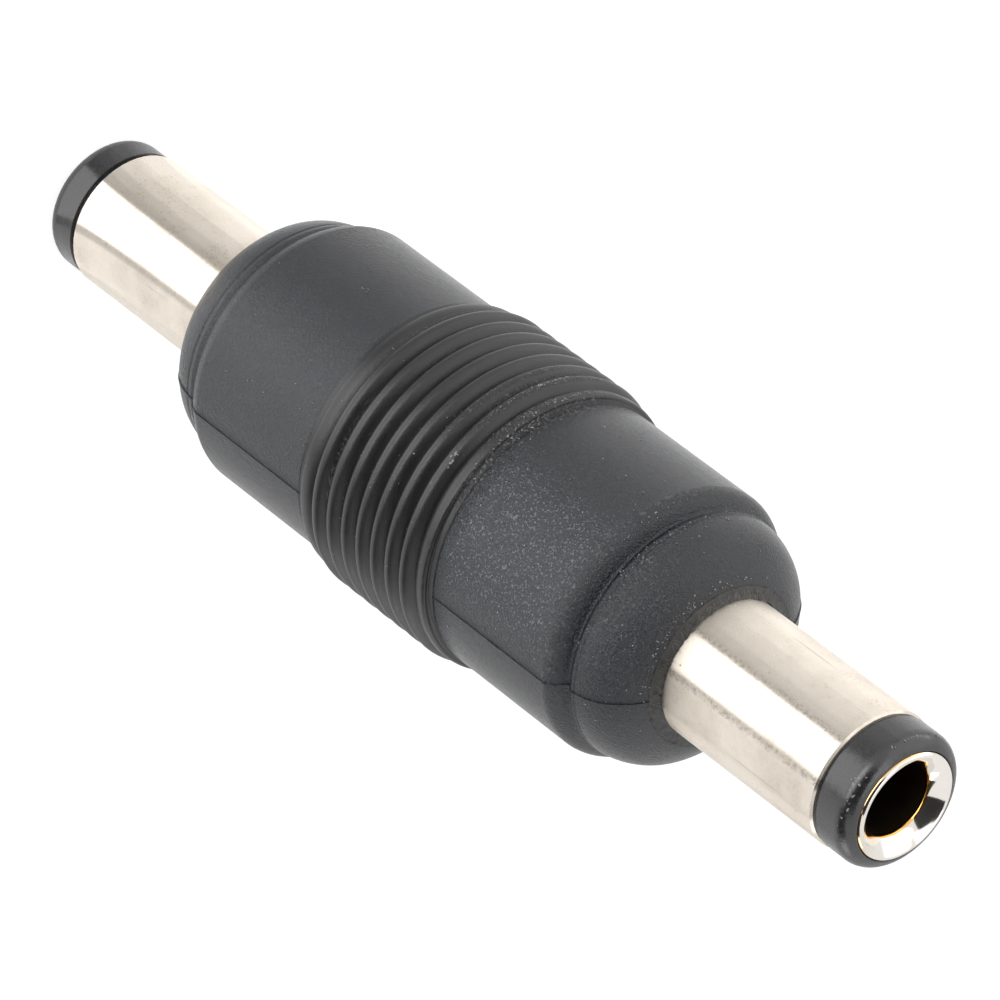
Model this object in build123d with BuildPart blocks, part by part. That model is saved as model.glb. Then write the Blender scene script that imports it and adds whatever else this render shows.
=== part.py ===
from build123d import *
import os

# A coupler with a plug barrel at each end. It stands on its back tip with its axis
# vertical, so Z = 0 is the surface below it. Stations are distances from its middle.

# Plug barrel and its tip
barrel_diameter = 5.5
pin_diameter = 2.5
exposed_sleeve = 8.05
tip_length = 1.85
sleeve_wall = 0.4
sleeve_chamfer = 0.08
neck_depth = 0.2
cap_diameter = 5.4
cap_face_diameter = 4.48
cap_round_length = 0.62
lip_diameter = 5.14
lip_width = 0.16
lip_chamfer = 0.04

# Centre socket and the spring in it
socket_bore_diameter = 3.1
socket_wall = 0.2
socket_depth = 11.5
socket_step = 0.1
drill_point = 0.6
mouth_diameter = 4.32
mouth_depth = 0.7
mouth_lip = 0.2
mouth_lip_land = 0.04
rim_proud = 0.12
tail_diameter = 1.8
rivet_diameter = 2.5
rivet_thickness = 0.4
spring_setback = 3.5
spring_length = 6.5
spring_ring = 0.7
spring_land = 2.1
spring_thickness = 0.12
spring_slots = 6
spring_slot_width = 0.2
pin_clearance = 0.03

# Overmoulded body: a crown is how far an edge bulges from the straight line between its ends
grip_diameter = 11.68
grip_length = 7.16
rib_pitch = 0.835
rib_height = 0.2
rib_count = 7
grip_end_height = 0.21
body_diameter = 10.86
smooth_length = 6.37
shoulder_length = 0.67
shoulder_drop = 0.41
shoulder_crown = 0.12
crease_width = 0.18
crease_depth = 0.14
collar_length = 1.55
collar_drop = 0.64
collar_crown = 0.12
nose_length = 0.8
nose_diameter = 6.1
nose_crown = 0.16
recess_depth = 0.12
foot_radius = 0.1
foot_land = 0.2

# Inner moulding round the joints
core_diameter = 8.2
core_setback = 0.35
core_edge = 0.4
key_groove_width = 1.2
key_groove_depth = 0.35
key_groove_station = 4.6

# Rear of each plug, from the flange inwards
flange_cover = 0.9
flange_thickness = 1.0
flange_diameter = 6.8
flange_notches = 8
flange_notch_diameter = 0.9
insulator_floor = 1.3
lug_thickness = 0.3
sleeve_lug_diameter = 6.0
sleeve_lug_bore = 3.4
washer_diameter = 5.0
washer_thickness = 0.8
centre_lug_diameter = 3.2
tab_width = 1.7
tab_length = 2.3
centre_tab_height = 1.4
sleeve_tab_depth = 2.75

# Links between the two plugs
conductor_diameter = 0.7
insulation_diameter = 1.3
strip_overlap = 1.8
insulation_gap = 0.2
solder_width = 1.4
solder_film = 0.03
solder_cover = 0.15
solder_end = 0.2

fit_clearance = 0.02

# Stations along the axis, from the middle outwards
grip_end = grip_length / 2
land_end = grip_end + foot_land
shoulder_start = grip_end + smooth_length
shoulder_end = shoulder_start + shoulder_length
collar_start = shoulder_end + crease_width
collar_end = collar_start + collar_length
nose_end = collar_end + nose_length
neck_end = nose_end - recess_depth
sleeve_end = nose_end + exposed_sleeve
tip_end = sleeve_end + tip_length
core_end = shoulder_start - core_setback
flange_front = core_end - flange_cover
flange_rear = flange_front - flange_thickness
sleeve_lug_rear = flange_rear - lug_thickness
washer_rear = sleeve_lug_rear - washer_thickness
centre_lug_rear = washer_rear - lug_thickness
rivet_rear = centre_lug_rear - rivet_thickness
tab_end = rivet_rear - tab_length
conductor_end = tab_end + strip_overlap
insulation_end = tab_end - insulation_gap
solder_start = tab_end + insulation_gap
solder_stop = conductor_end + solder_end
socket_base = flange_rear + insulator_floor
mouth_start = tip_end - mouth_depth
rim_station = tip_end - mouth_lip
bore_bottom = tip_end - socket_depth
spring_front = tip_end - spring_setback
spring_rear = spring_front - spring_length
cap_face = tip_end - rim_proud
cap_round_start = cap_face - cap_round_length

# Radii that follow from the sizes above
barrel_radius = barrel_diameter / 2
neck_radius = barrel_radius - neck_depth
sleeve_bore = barrel_radius - sleeve_wall
insulator_radius = sleeve_bore - fit_clearance
bore_radius = socket_bore_diameter / 2
socket_radius = bore_radius + socket_wall
tail_radius = tail_diameter / 2
rivet_radius = rivet_diameter / 2
rim_radius = mouth_diameter / 2
contact_radius = pin_diameter / 2 + pin_clearance
waist_radius = contact_radius + spring_thickness
spring_radius = bore_radius - fit_clearance
cap_radius = cap_diameter / 2
lip_radius = lip_diameter / 2
body_radius = body_diameter / 2
grip_radius = grip_diameter / 2
grip_end_radius = grip_radius - grip_end_height
valley_radius = grip_radius - rib_height
drum_radius = min(body_radius, grip_end_radius)
foot_step = abs(grip_end_radius - body_radius)
foot_station = grip_end if grip_end_radius > body_radius else land_end
shoulder_radius = body_radius - shoulder_drop
crease_radius = shoulder_radius - crease_depth
collar_radius = shoulder_radius - collar_drop
core_radius = core_diameter / 2
nose_radius = nose_diameter / 2
conductor_radius = conductor_diameter / 2
insulation_radius = insulation_diameter / 2

middle_height = tip_end
centre_axis = Axis((0, 0, middle_height), (0, 0, 1))
plug_sides = {"front": 1, "back": -1}


def along(side):
    # The plane through the axis: its X runs from the middle out to that end, its Y outwards.
    return Plane(origin=(0, 0, middle_height), x_dir=(0, 0, side), z_dir=(0, -side, 0))


def across(side, station):
    # The plane square to the axis at a station, facing out of that end. Its Y is the side
    # that the centre contacts' tabs are on.
    height = middle_height + side * station
    return Plane(origin=(0, 0, height), x_dir=(0, side, 0), z_dir=(0, 0, side))


def finish(piece, name):
    piece.part.label = name
    export_step(piece.part, f"parts/{name}.step")


os.makedirs("parts", exist_ok=True)
core_pieces = []

for end_name, side in plug_sides.items():
    # Plated sleeve: the mouldings grip its notched flange and its neck, and the neck ends
    # where the barrel leaves the overmould
    with BuildPart() as sleeve:
        with BuildSketch(along(side)):
            with BuildLine():
                Polyline(
                    (flange_rear, sleeve_bore),
                    (flange_rear, flange_diameter / 2),
                    (flange_front, flange_diameter / 2),
                    (flange_front, neck_radius),
                    (neck_end, neck_radius),
                    (neck_end, barrel_radius),
                    (sleeve_end - sleeve_chamfer, barrel_radius),
                    (sleeve_end, barrel_radius - sleeve_chamfer),
                    (sleeve_end, sleeve_bore),
                    close=True,
                )
            make_face()
        revolve(axis=centre_axis)
        with BuildSketch(across(side, flange_rear)):
            with PolarLocations(flange_diameter / 2, flange_notches):
                Circle(flange_notch_diameter / 2)
        extrude(amount=flange_thickness, mode=Mode.SUBTRACT)
    finish(sleeve, f"{end_name}_sleeve")

    # Insulating bush: it fills the sleeve, ends in the rounded black tip and has a rear
    # boss that keeps the tail clear of the sleeve's lug
    with BuildPart() as tip_insulator:
        with BuildSketch(along(side)):
            with BuildLine():
                Polyline(
                    (cap_face, cap_face_diameter / 2),
                    (cap_face, rim_radius + fit_clearance),
                    (rim_station, rim_radius + fit_clearance),
                    (mouth_start, socket_radius + fit_clearance),
                    (socket_base - fit_clearance, socket_radius + fit_clearance),
                    (socket_base - fit_clearance, tail_radius + fit_clearance),
                    (sleeve_lug_rear, tail_radius + fit_clearance),
                    (sleeve_lug_rear, sleeve_lug_bore / 2 - fit_clearance),
                    (flange_rear, sleeve_lug_bore / 2 - fit_clearance),
                    (flange_rear, insulator_radius),
                    (sleeve_end, insulator_radius),
                    (sleeve_end, lip_radius),
                    (sleeve_end + lip_width, lip_radius),
                    (sleeve_end + lip_width + lip_chamfer, cap_radius),
                    (cap_round_start, cap_radius),
                )
                TangentArc(
                    (cap_round_start, cap_radius),
                    (cap_face, cap_face_diameter / 2),
                    tangent=(1, 0),
                )
            make_face()
        revolve(axis=centre_axis)
    finish(tip_insulator, f"{end_name}_tip_insulator")

    # Centre contact: a flared mouth, a blind bore and a tail riveted over the lug
    with BuildPart() as socket:
        with BuildSketch(along(side)):
            with BuildLine():
                Polyline(
                    (mouth_start, bore_radius),
                    (spring_rear, bore_radius),
                    (spring_rear, bore_radius - socket_step),
                    (bore_bottom, bore_radius - socket_step),
                    (bore_bottom - drill_point, 0),
                    (rivet_rear, 0),
                    (rivet_rear, rivet_radius),
                    (centre_lug_rear, rivet_radius),
                    (centre_lug_rear, tail_radius),
                    (socket_base, tail_radius),
                    (socket_base, socket_radius),
                    (mouth_start, socket_radius),
                    (rim_station, rim_radius),
                )
                TangentArc(
                    (rim_station, rim_radius),
                    (tip_end, rim_radius - mouth_lip + mouth_lip_land),
                    tangent=(1, 0),
                )
                Line(
                    (tip_end, rim_radius - mouth_lip + mouth_lip_land),
                    (tip_end, rim_radius - mouth_lip),
                )
                TangentArc(
                    (mouth_start, bore_radius),
                    (tip_end, rim_radius - mouth_lip),
                    tangent=(1, 0),
                )
            make_face()
        revolve(axis=centre_axis)
    finish(socket, f"{end_name}_socket")

    # Waisted spring cage in the bore: its slotted waist grips the centre pin
    spring_ramp = (spring_length - 2 * spring_ring - spring_land) / 2
    with BuildPart() as contact_spring:
        with BuildSketch(along(side)):
            with BuildLine():
                inner_edge = [
                    (spring_rear, spring_radius - spring_thickness),
                    (spring_rear + spring_ring, spring_radius - spring_thickness),
                    (spring_rear + spring_ring + spring_ramp, contact_radius),
                    (spring_front - spring_ring - spring_ramp, contact_radius),
                    (spring_front - spring_ring, spring_radius - spring_thickness),
                    (spring_front, spring_radius - spring_thickness),
                ]
                outer_edge = [(station, radius + spring_thickness) for station, radius in inner_edge]
                Polyline(*inner_edge, *reversed(outer_edge), close=True)
            make_face()
        revolve(axis=centre_axis)
        with BuildSketch(across(side, spring_rear + spring_ring)):
            with PolarLocations(bore_radius, spring_slots):
                Rectangle(bore_radius, spring_slot_width)
        extrude(amount=spring_length - 2 * spring_ring, mode=Mode.SUBTRACT)
    finish(contact_spring, f"{end_name}_contact_spring")

    # Insulating washer between the two solder lugs
    with BuildPart() as rear_washer:
        with BuildSketch(across(side, washer_rear)):
            Circle(washer_diameter / 2)
            Circle(tail_radius + fit_clearance, mode=Mode.SUBTRACT)
        extrude(amount=washer_thickness)
    finish(rear_washer, f"{end_name}_rear_washer")

    # Solder lug of the centre contact: a ring on the tail with a tab bent inwards
    with BuildPart() as centre_lug:
        with BuildSketch(across(side, centre_lug_rear)):
            Circle(centre_lug_diameter / 2)
            with Locations((0, centre_tab_height / 2 + lug_thickness / 2)):
                Rectangle(tab_width, centre_tab_height + lug_thickness)
            Circle(tail_radius + fit_clearance, mode=Mode.SUBTRACT)
        extrude(amount=lug_thickness)
        with BuildSketch(across(side, tab_end)):
            with Locations((0, centre_tab_height + lug_thickness / 2)):
                Rectangle(tab_width, lug_thickness)
        extrude(amount=centre_lug_rear - tab_end)
    finish(centre_lug, f"{end_name}_centre_lug")

    # Solder lug of the sleeve: a ring against the flange with a tab on the other side
    with BuildPart() as sleeve_lug:
        with BuildSketch(across(side, sleeve_lug_rear)):
            Circle(sleeve_lug_diameter / 2)
            with Locations((0, -(sleeve_tab_depth + lug_thickness) / 2)):
                Rectangle(tab_width, sleeve_tab_depth + lug_thickness)
            Circle(sleeve_lug_bore / 2, mode=Mode.SUBTRACT)
        extrude(amount=lug_thickness)
        with BuildSketch(across(side, tab_end)):
            with Locations((0, -sleeve_tab_depth - lug_thickness / 2)):
                Rectangle(tab_width, lug_thickness)
        extrude(amount=sleeve_lug_rear - tab_end)
    finish(sleeve_lug, f"{end_name}_sleeve_lug")

    # Solder over each stripped end, on the tab's face
    for joint_name, tab_top in (
        ("centre_solder", centre_tab_height + lug_thickness),
        ("sleeve_solder", -sleeve_tab_depth),
    ):
        solder_top = tab_top + solder_film + conductor_diameter + solder_cover
        with BuildPart() as solder:
            with BuildSketch(across(side, solder_start)):
                with BuildLine():
                    Line((solder_width / 2, tab_top), (-solder_width / 2, tab_top))
                    ThreePointArc(
                        (-solder_width / 2, tab_top),
                        (0, solder_top),
                        (solder_width / 2, tab_top),
                    )
                make_face()
            extrude(amount=solder_stop - solder_start)
            with BuildSketch(across(side, solder_start)):
                with Locations((0, tab_top + solder_film + conductor_radius)):
                    Circle(conductor_radius)
            extrude(amount=conductor_end - solder_start, mode=Mode.SUBTRACT)
        finish(solder, f"{end_name}_{joint_name}")
        core_pieces.append(solder.part)

    core_pieces += [sleeve.part, rear_washer.part, centre_lug.part, sleeve_lug.part]
    core_pieces.append(socket.part)

# Link wires from lug to lug, stripped at both ends
for link_name, tab_top in (
    ("centre", centre_tab_height + lug_thickness),
    ("sleeve", -sleeve_tab_depth),
):
    link_height = tab_top + solder_film + conductor_radius
    with BuildPart() as link_wire:
        with BuildSketch(across(1, -conductor_end)):
            with Locations((0, link_height)):
                Circle(conductor_radius)
        extrude(amount=2 * conductor_end)
    finish(link_wire, f"{link_name}_link_wire")
    with BuildPart() as wire_insulation:
        with BuildSketch(across(1, -insulation_end)):
            with Locations((0, link_height)):
                Circle(insulation_radius)
                Circle(conductor_radius, mode=Mode.SUBTRACT)
        extrude(amount=2 * insulation_end)
    finish(wire_insulation, f"{link_name}_wire_insulation")
    core_pieces += [link_wire.part, wire_insulation.part]

# Outside of the inner moulding: it is also the cavity in the overmould
with BuildPart() as core_form:
    with BuildSketch(across(1, -core_end)):
        Circle(core_radius)
    extrude(amount=2 * core_end)
    chamfer(core_form.edges().filter_by(GeomType.CIRCLE), length=core_edge)
    for station in (-key_groove_station, key_groove_station):
        with BuildSketch(across(1, station - key_groove_width / 2)):
            Circle(core_radius)
            Circle(core_radius - key_groove_depth, mode=Mode.SUBTRACT)
        extrude(amount=key_groove_width, mode=Mode.SUBTRACT)

# Inner moulding, poured round the lugs, the links and the sleeve flanges
with BuildPart() as inner_mould:
    add(core_form.part)
    for side in plug_sides.values():
        for start, stop, radius in (
            (flange_rear, core_end, neck_radius + fit_clearance),
            (sleeve_lug_rear, flange_rear, sleeve_lug_bore / 2),
            (centre_lug_rear, sleeve_lug_rear, tail_radius + fit_clearance),
        ):
            with BuildSketch(across(side, start)):
                Circle(radius)
            extrude(amount=stop - start, mode=Mode.SUBTRACT)
    for piece in core_pieces:
        add(piece, mode=Mode.SUBTRACT)
finish(inner_mould, "inner_mould")

# Overmould: one turned form with a ribbed grip, rounded shoulders and a collar at each end.
# A grip smaller than the body lies in a recess, with a short land beside its last rib.
with BuildPart() as grip_overmould:
    with BuildSketch(along(1)):
        with Locations((0, drum_radius / 2)):
            Rectangle(2 * land_end, drum_radius)
    revolve(axis=centre_axis)
    for side in plug_sides.values():
        with BuildSketch(along(side)):
            with BuildLine():
                Line((land_end, 0), (land_end, body_radius))
                Line((land_end, body_radius), (shoulder_start, body_radius))
                SagittaArc(
                    (shoulder_start, body_radius),
                    (shoulder_end, shoulder_radius),
                    shoulder_crown,
                )
                Polyline(
                    (shoulder_end, shoulder_radius),
                    (shoulder_end + crease_width / 4, crease_radius),
                    (collar_start, shoulder_radius),
                )
                SagittaArc(
                    (collar_start, shoulder_radius),
                    (collar_end, collar_radius),
                    collar_crown,
                )
                SagittaArc(
                    (collar_end, collar_radius),
                    (nose_end, nose_radius),
                    nose_crown,
                )
                Polyline(
                    (nose_end, nose_radius),
                    (neck_end, nose_radius - recess_depth),
                    (neck_end, 0),
                    (land_end, 0),
                )
            make_face()
        revolve(axis=centre_axis)
    first_valley = -rib_count * rib_pitch / 2
    with BuildSketch(along(1)):
        with BuildLine():
            for rib in range(rib_count):
                valley = first_valley + rib * rib_pitch
                ThreePointArc(
                    (valley, valley_radius),
                    (valley + rib_pitch / 2, grip_radius),
                    (valley + rib_pitch, valley_radius),
                )
            for end in (-1, 1):
                ThreePointArc(
                    (-end * first_valley, valley_radius),
                    (end * (grip_end - first_valley) / 2, grip_radius),
                    (end * grip_end, grip_end_radius),
                )
            Polyline(
                (-grip_end, grip_end_radius),
                (-grip_end, 0),
                (grip_end, 0),
                (grip_end, grip_end_radius),
            )
        make_face()
    revolve(axis=centre_axis)
    grip_feet = grip_overmould.edges().filter_by(GeomType.CIRCLE).filter_by(
        lambda edge: abs(edge.radius - drum_radius) < fit_clearance
        and abs(abs(edge.arc_center.Z - middle_height) - foot_station) < fit_clearance
    )
    fillet(grip_feet, radius=min(foot_radius, foot_step / 2))
    add(core_form.part, mode=Mode.SUBTRACT)
    with BuildSketch(across(1, -nose_end)):
        Circle(neck_radius + fit_clearance)
    extrude(amount=2 * nose_end, mode=Mode.SUBTRACT)
finish(grip_overmould, "grip_overmould")
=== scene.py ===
import math
import random
import bpy
from mathutils import Euler, Matrix, Vector


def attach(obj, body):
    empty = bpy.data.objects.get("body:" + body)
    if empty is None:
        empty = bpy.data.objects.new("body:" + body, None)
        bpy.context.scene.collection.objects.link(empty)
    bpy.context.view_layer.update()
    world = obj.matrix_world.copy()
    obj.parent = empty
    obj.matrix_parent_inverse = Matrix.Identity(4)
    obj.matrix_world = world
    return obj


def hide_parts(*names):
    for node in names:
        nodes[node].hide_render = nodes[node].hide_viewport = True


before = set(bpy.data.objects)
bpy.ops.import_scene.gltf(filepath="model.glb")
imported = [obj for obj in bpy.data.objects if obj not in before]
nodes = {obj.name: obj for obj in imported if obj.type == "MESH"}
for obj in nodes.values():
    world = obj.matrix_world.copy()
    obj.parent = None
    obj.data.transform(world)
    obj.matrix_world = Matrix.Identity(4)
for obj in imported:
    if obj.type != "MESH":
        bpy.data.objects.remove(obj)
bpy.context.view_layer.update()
bpy.ops.object.select_all(action="DESELECT")
scene = bpy.context.scene
scene.view_settings.view_transform = "Standard"
mm = 0.001
middleHeight = 23.05 * mm  # the coupler's middle above the floor
viewAzimuth = -50.992  # the side that the photograph shows, in degrees
plugSides = {"front": 1, "back": -1}
print("stage: frame loaded,", len(nodes), "nodes")


# Helpers for shader nodes

def addNode(tree, kind, inputs=None, **settings):
    node = tree.nodes.new(kind)
    for key, value in settings.items():
        setattr(node, key, value)
    for key, value in (inputs or {}).items():
        setInput(tree, node, key, value)
    return node


def setInput(tree, node, key, value):
    if isinstance(value, bpy.types.NodeSocket):
        tree.links.new(value, node.inputs[key])
    else:
        node.inputs[key].default_value = value


def calc(tree, operation, first, second=0.0):
    return addNode(tree, "ShaderNodeMath", {0: first, 1: second}, operation=operation).outputs[0]


def times(tree, *values):
    result = values[0]
    for value in values[1:]:
        result = calc(tree, "MULTIPLY", result, value)
    return result


def remap(tree, value, fromLow, fromHigh, toLow=0.0, toHigh=1.0):
    inputs = {"Value": value, "From Min": fromLow, "From Max": fromHigh, "To Min": toLow, "To Max": toHigh}
    return addNode(tree, "ShaderNodeMapRange", inputs, interpolation_type="SMOOTHSTEP").outputs[0]


def blendColour(tree, factor, first, second):
    return addNode(tree, "ShaderNodeMix", {0: factor, 6: first, 7: second}, data_type="RGBA").outputs[2]


def noise(tree, place, scale, detail=2.0, roughness=0.5):
    inputs = {"Vector": place, "Scale": scale, "Detail": detail, "Roughness": roughness}
    return addNode(tree, "ShaderNodeTexNoise", inputs).outputs[0]


def rgb(red, green, blue):
    return (red, green, blue, 1.0)


def direction(azimuth, elevation=0.0):
    turn, rise = math.radians(azimuth), math.radians(elevation)
    return Vector((math.sin(turn) * math.cos(rise), -math.cos(turn) * math.cos(rise), math.sin(rise)))


def stationOf(tree, place):
    # distance from the coupler's middle along its axis, in mm: the front is positive
    height = addNode(tree, "ShaderNodeSeparateXYZ", {0: place}).outputs[2]
    return calc(tree, "MULTIPLY", calc(tree, "SUBTRACT", height, middleHeight), 1.0 / mm)


def acrossAxis(tree, place):
    # the place without its height
    return addNode(tree, "ShaderNodeVectorMath", {0: place, 1: (1.0, 1.0, 0.0)}, operation="MULTIPLY").outputs[0]


def band(tree, value, centre, halfWidth, blur):
    away = calc(tree, "ABSOLUTE", calc(tree, "SUBTRACT", value, centre))
    return remap(tree, away, halfWidth + blur, halfWidth)


def facing(tree, place, azimuth, spread, blur):
    # one on the side that faces the azimuth, zero away from it, with angles in degrees
    unit = addNode(tree, "ShaderNodeVectorMath", {0: acrossAxis(tree, place)}, operation="NORMALIZE").outputs[0]
    towards = {0: unit, 1: tuple(direction(azimuth))}
    cosine = addNode(tree, "ShaderNodeVectorMath", towards, operation="DOT_PRODUCT").outputs["Value"]
    outer, inner = math.cos(math.radians(spread + blur)), math.cos(math.radians(spread))
    return remap(tree, cosine, outer, inner)


# Node groups that several finishes share. Each noise is its scale, detail and roughness.

grainValues = {
    "fineNoise": (3.0, 0.65), "wideScale": 0.07, "wideNoise": (4.0, 0.6),
    "dustScale": 0.32, "dustEdge": (0.26, 0.1), "dustFull": 1.02,
}
turningValues = {
    "ringSqueeze": (0.04, 0.04, 1.0), "scratchStretch": (1.0, 1.0, 0.035), "scratchLean": (0.09, 0.05, 0.0),
    "scratchNoise": (7200.0, 1.0), "scratchEdge": 0.8, "scratchShift": 0.2, "scratchFull": 0.86,
    "rubNoise": (330.0, 4.0, 0.62), "pitNoise": (2600.0, 2.0, 0.7), "pitEdge": (0.72, 0.78),
}


def newGroup(name, inputs, outputs):
    group = bpy.data.node_groups.new(name, "ShaderNodeTree")
    for label, kind, value in inputs:
        socket = group.interface.new_socket(label, in_out="INPUT", socket_type=kind)
        if value is not None:
            socket.default_value = value
    for label in outputs:
        group.interface.new_socket(label, in_out="OUTPUT", socket_type="NodeSocketFloat")
    return group, group.nodes.new("NodeGroupInput"), group.nodes.new("NodeGroupOutput")


def useGroup(tree, group, inputs):
    node = addNode(tree, "ShaderNodeGroup")
    node.node_tree = group
    for key, value in inputs.items():
        setInput(tree, node, key, value)
    return node.outputs


def makeGrain(values):
    # moulded grain: fine bumps, slow changes of tone, and sparse bright flecks of dust
    group, start, end = newGroup("mouldedGrain", [
        ("Vector", "NodeSocketVector", None),
        ("Scale", "NodeSocketFloat", 9000.0),
        ("Flecks", "NodeSocketFloat", 0.5),
    ], ["Height", "Mottle", "Dust"])
    place, scale = start.outputs["Vector"], start.outputs["Scale"]
    fine = noise(group, place, scale, *values["fineNoise"])
    wide = noise(group, place, times(group, scale, values["wideScale"]), *values["wideNoise"])
    cellInputs = {"Vector": place, "Scale": times(group, scale, values["dustScale"])}
    cells = addNode(group, "ShaderNodeTexVoronoi", cellInputs)
    cellDraw = addNode(group, "ShaderNodeSeparateColor", {"Color": cells.outputs["Color"]})
    near = remap(group, cells.outputs["Distance"], *values["dustEdge"])
    bare = calc(group, "SUBTRACT", 1.0, start.outputs["Flecks"])
    rare = remap(group, cellDraw.outputs[0], bare, values["dustFull"])
    group.links.new(fine, end.inputs["Height"])
    group.links.new(wide, end.inputs["Mottle"])
    group.links.new(times(group, near, rare), end.inputs["Dust"])
    return group


def makeTurning(values):
    # marks of turning and use: rings round the axis, scratches along it, cloudy rub and dark pits
    group, start, end = newGroup("turnedMarks", [
        ("Vector", "NodeSocketVector", None),
        ("Rings", "NodeSocketFloat", 9000.0),
        ("Scratches", "NodeSocketFloat", 0.3),
    ], ["Height", "Rub", "Scratch", "Pit"])
    place = start.outputs["Vector"]
    squeeze = {"Vector": place, "Scale": values["ringSqueeze"]}
    rings = noise(group, addNode(group, "ShaderNodeMapping", squeeze).outputs[0], start.outputs["Rings"])
    stretch = {"Vector": place, "Scale": values["scratchStretch"], "Rotation": values["scratchLean"]}
    lines = noise(group, addNode(group, "ShaderNodeMapping", stretch).outputs[0], *values["scratchNoise"])
    cloud = noise(group, place, *values["rubNoise"])
    pits = noise(group, place, *values["pitNoise"])
    shift = times(group, start.outputs["Scratches"], values["scratchShift"])
    edge = calc(group, "SUBTRACT", values["scratchEdge"], shift)
    group.links.new(rings, end.inputs["Height"])
    group.links.new(cloud, end.inputs["Rub"])
    group.links.new(remap(group, lines, edge, values["scratchFull"]), end.inputs["Scratch"])
    group.links.new(remap(group, pits, *values["pitEdge"]), end.inputs["Pit"])
    return group


mouldedGrain = makeGrain(grainValues)
turnedMarks = makeTurning(turningValues)


# Finishes. A span gives the noise values between which a tone or a mask goes from none to full.

grainSpan = (0.3, 0.7)
rubToneSpan = (0.35, 0.7)
rubRoughSpan = (0.3, 0.75)
frontSpan = (-1.0, 1.0)  # the stations between which a mark of the front half fades in


def startMaterial(name):
    material = bpy.data.materials.new(name)
    material.use_nodes = True
    tree = material.node_tree
    place = addNode(tree, "ShaderNodeTexCoord").outputs["Object"]
    return material, tree, tree.nodes["Principled BSDF"], place


def setBump(tree, shader, height, distance):
    bump = addNode(tree, "ShaderNodeBump", {"Height": height, "Distance": distance, "Strength": 1.0})
    tree.links.new(bump.outputs[0], shader.inputs["Normal"])


def plasticMaterial(name, values):
    material, tree, shader, place = startMaterial(name)
    grain = useGroup(tree, mouldedGrain, {"Vector": place, "Scale": values["grain"], "Flecks": values["flecks"]})
    tone = blendColour(tree, remap(tree, grain["Mottle"], *grainSpan), values["dark"], values["light"])
    dusty = blendColour(tree, times(tree, grain["Dust"], values["dustShow"]), tone, values["dust"])
    tree.links.new(dusty, shader.inputs["Base Color"])
    rough = remap(tree, grain["Height"], *grainSpan, values["roughLow"], values["roughHigh"])
    tree.links.new(rough, shader.inputs["Roughness"])
    shader.inputs["IOR"].default_value = values["ior"]
    setBump(tree, shader, grain["Height"], values["bump"])
    return material


def bodyMaterial(name, values):
    # The moulding: spark-eroded grain on its smooth sections with a painted sparkle of the highlight, satin ribs, and
    # pale torn plastic and dust where the mould closed badly, on the photographed side.
    material, tree, shader, place = startMaterial(name)
    grain = useGroup(tree, mouldedGrain, {"Vector": place, "Scale": values["grain"], "Flecks": values["flecks"]})
    coarse = noise(tree, place, *values["sparkleNoise"])
    station = stationOf(tree, place)
    ribbed = band(tree, station, *values["ribZone"])
    smooth = calc(tree, "SUBTRACT", 1.0, ribbed)
    torn = None
    for tornStation, halfWidth, azimuth, spread, amount in values["torn"]:
        patch = times(tree, band(tree, station, tornStation, halfWidth, values["tornBlur"]),
                      facing(tree, place, azimuth, spread, values["tornTurnBlur"]), amount)
        torn = patch if torn is None else calc(tree, "MAXIMUM", torn, patch)
    crumbs = remap(tree, noise(tree, place, *values["crumbNoise"]), *values["crumbSpan"])
    tornCrumbs = times(tree, torn, crumbs)
    tone = blendColour(tree, remap(tree, grain["Mottle"], *grainSpan), values["dark"], values["light"])
    ribTone = blendColour(tree, remap(tree, grain["Mottle"], *grainSpan), values["ribDark"], values["ribLight"])
    tone = blendColour(tree, ribbed, tone, ribTone)
    # painted highlight sparkle: pale bluish specks, full on the side where the highlight falls and in the front
    # section, few elsewhere
    onSparkleSide = remap(tree, facing(tree, place, *values["paintedSparkleSide"]), 0.0, 1.0, values["awayFromSparkleSide"], 1.0)
    where = calc(tree, "MAXIMUM", band(tree, station, *values["speckZone"]), values["speckElsewhere"])
    where = times(tree, where, remap(tree, station, *frontSpan, values["speckAtBack"], 1.0))
    speckAndPaintedSparkle = times(tree, smooth, remap(tree, coarse, *values["speckSpan"]), values["speckShow"], onSparkleSide, where)
    speckedAndSparkled = blendColour(tree, speckAndPaintedSparkle, tone, values["speckAndPaintedSparkle"])
    dusty = blendColour(tree, times(tree, grain["Dust"], values["dustShow"]), speckedAndSparkled, values["dust"])
    ragged = blendColour(tree, times(tree, tornCrumbs, values["tornShow"]), dusty, values["tornColour"])
    tree.links.new(ragged, shader.inputs["Base Color"])
    rough = remap(tree, grain["Height"], *grainSpan, values["roughLow"], values["roughHigh"])
    rough = calc(tree, "ADD", rough, times(tree, ribbed, values["ribRough"]))
    tree.links.new(calc(tree, "ADD", rough, times(tree, torn, values["tornRough"])), shader.inputs["Roughness"])
    shader.inputs["IOR"].default_value = values["ior"]
    onRibs = calc(tree, "ADD", times(tree, smooth, 1.0 - values["ribGrain"]), values["ribGrain"])
    height = calc(tree, "ADD", times(tree, grain["Height"], onRibs),
                  times(tree, coarse, smooth, values["sparkleRise"]))
    height = calc(tree, "ADD", height, times(tree, tornCrumbs, values["tornRise"]))
    setBump(tree, shader, height, values["bump"])
    return material


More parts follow.
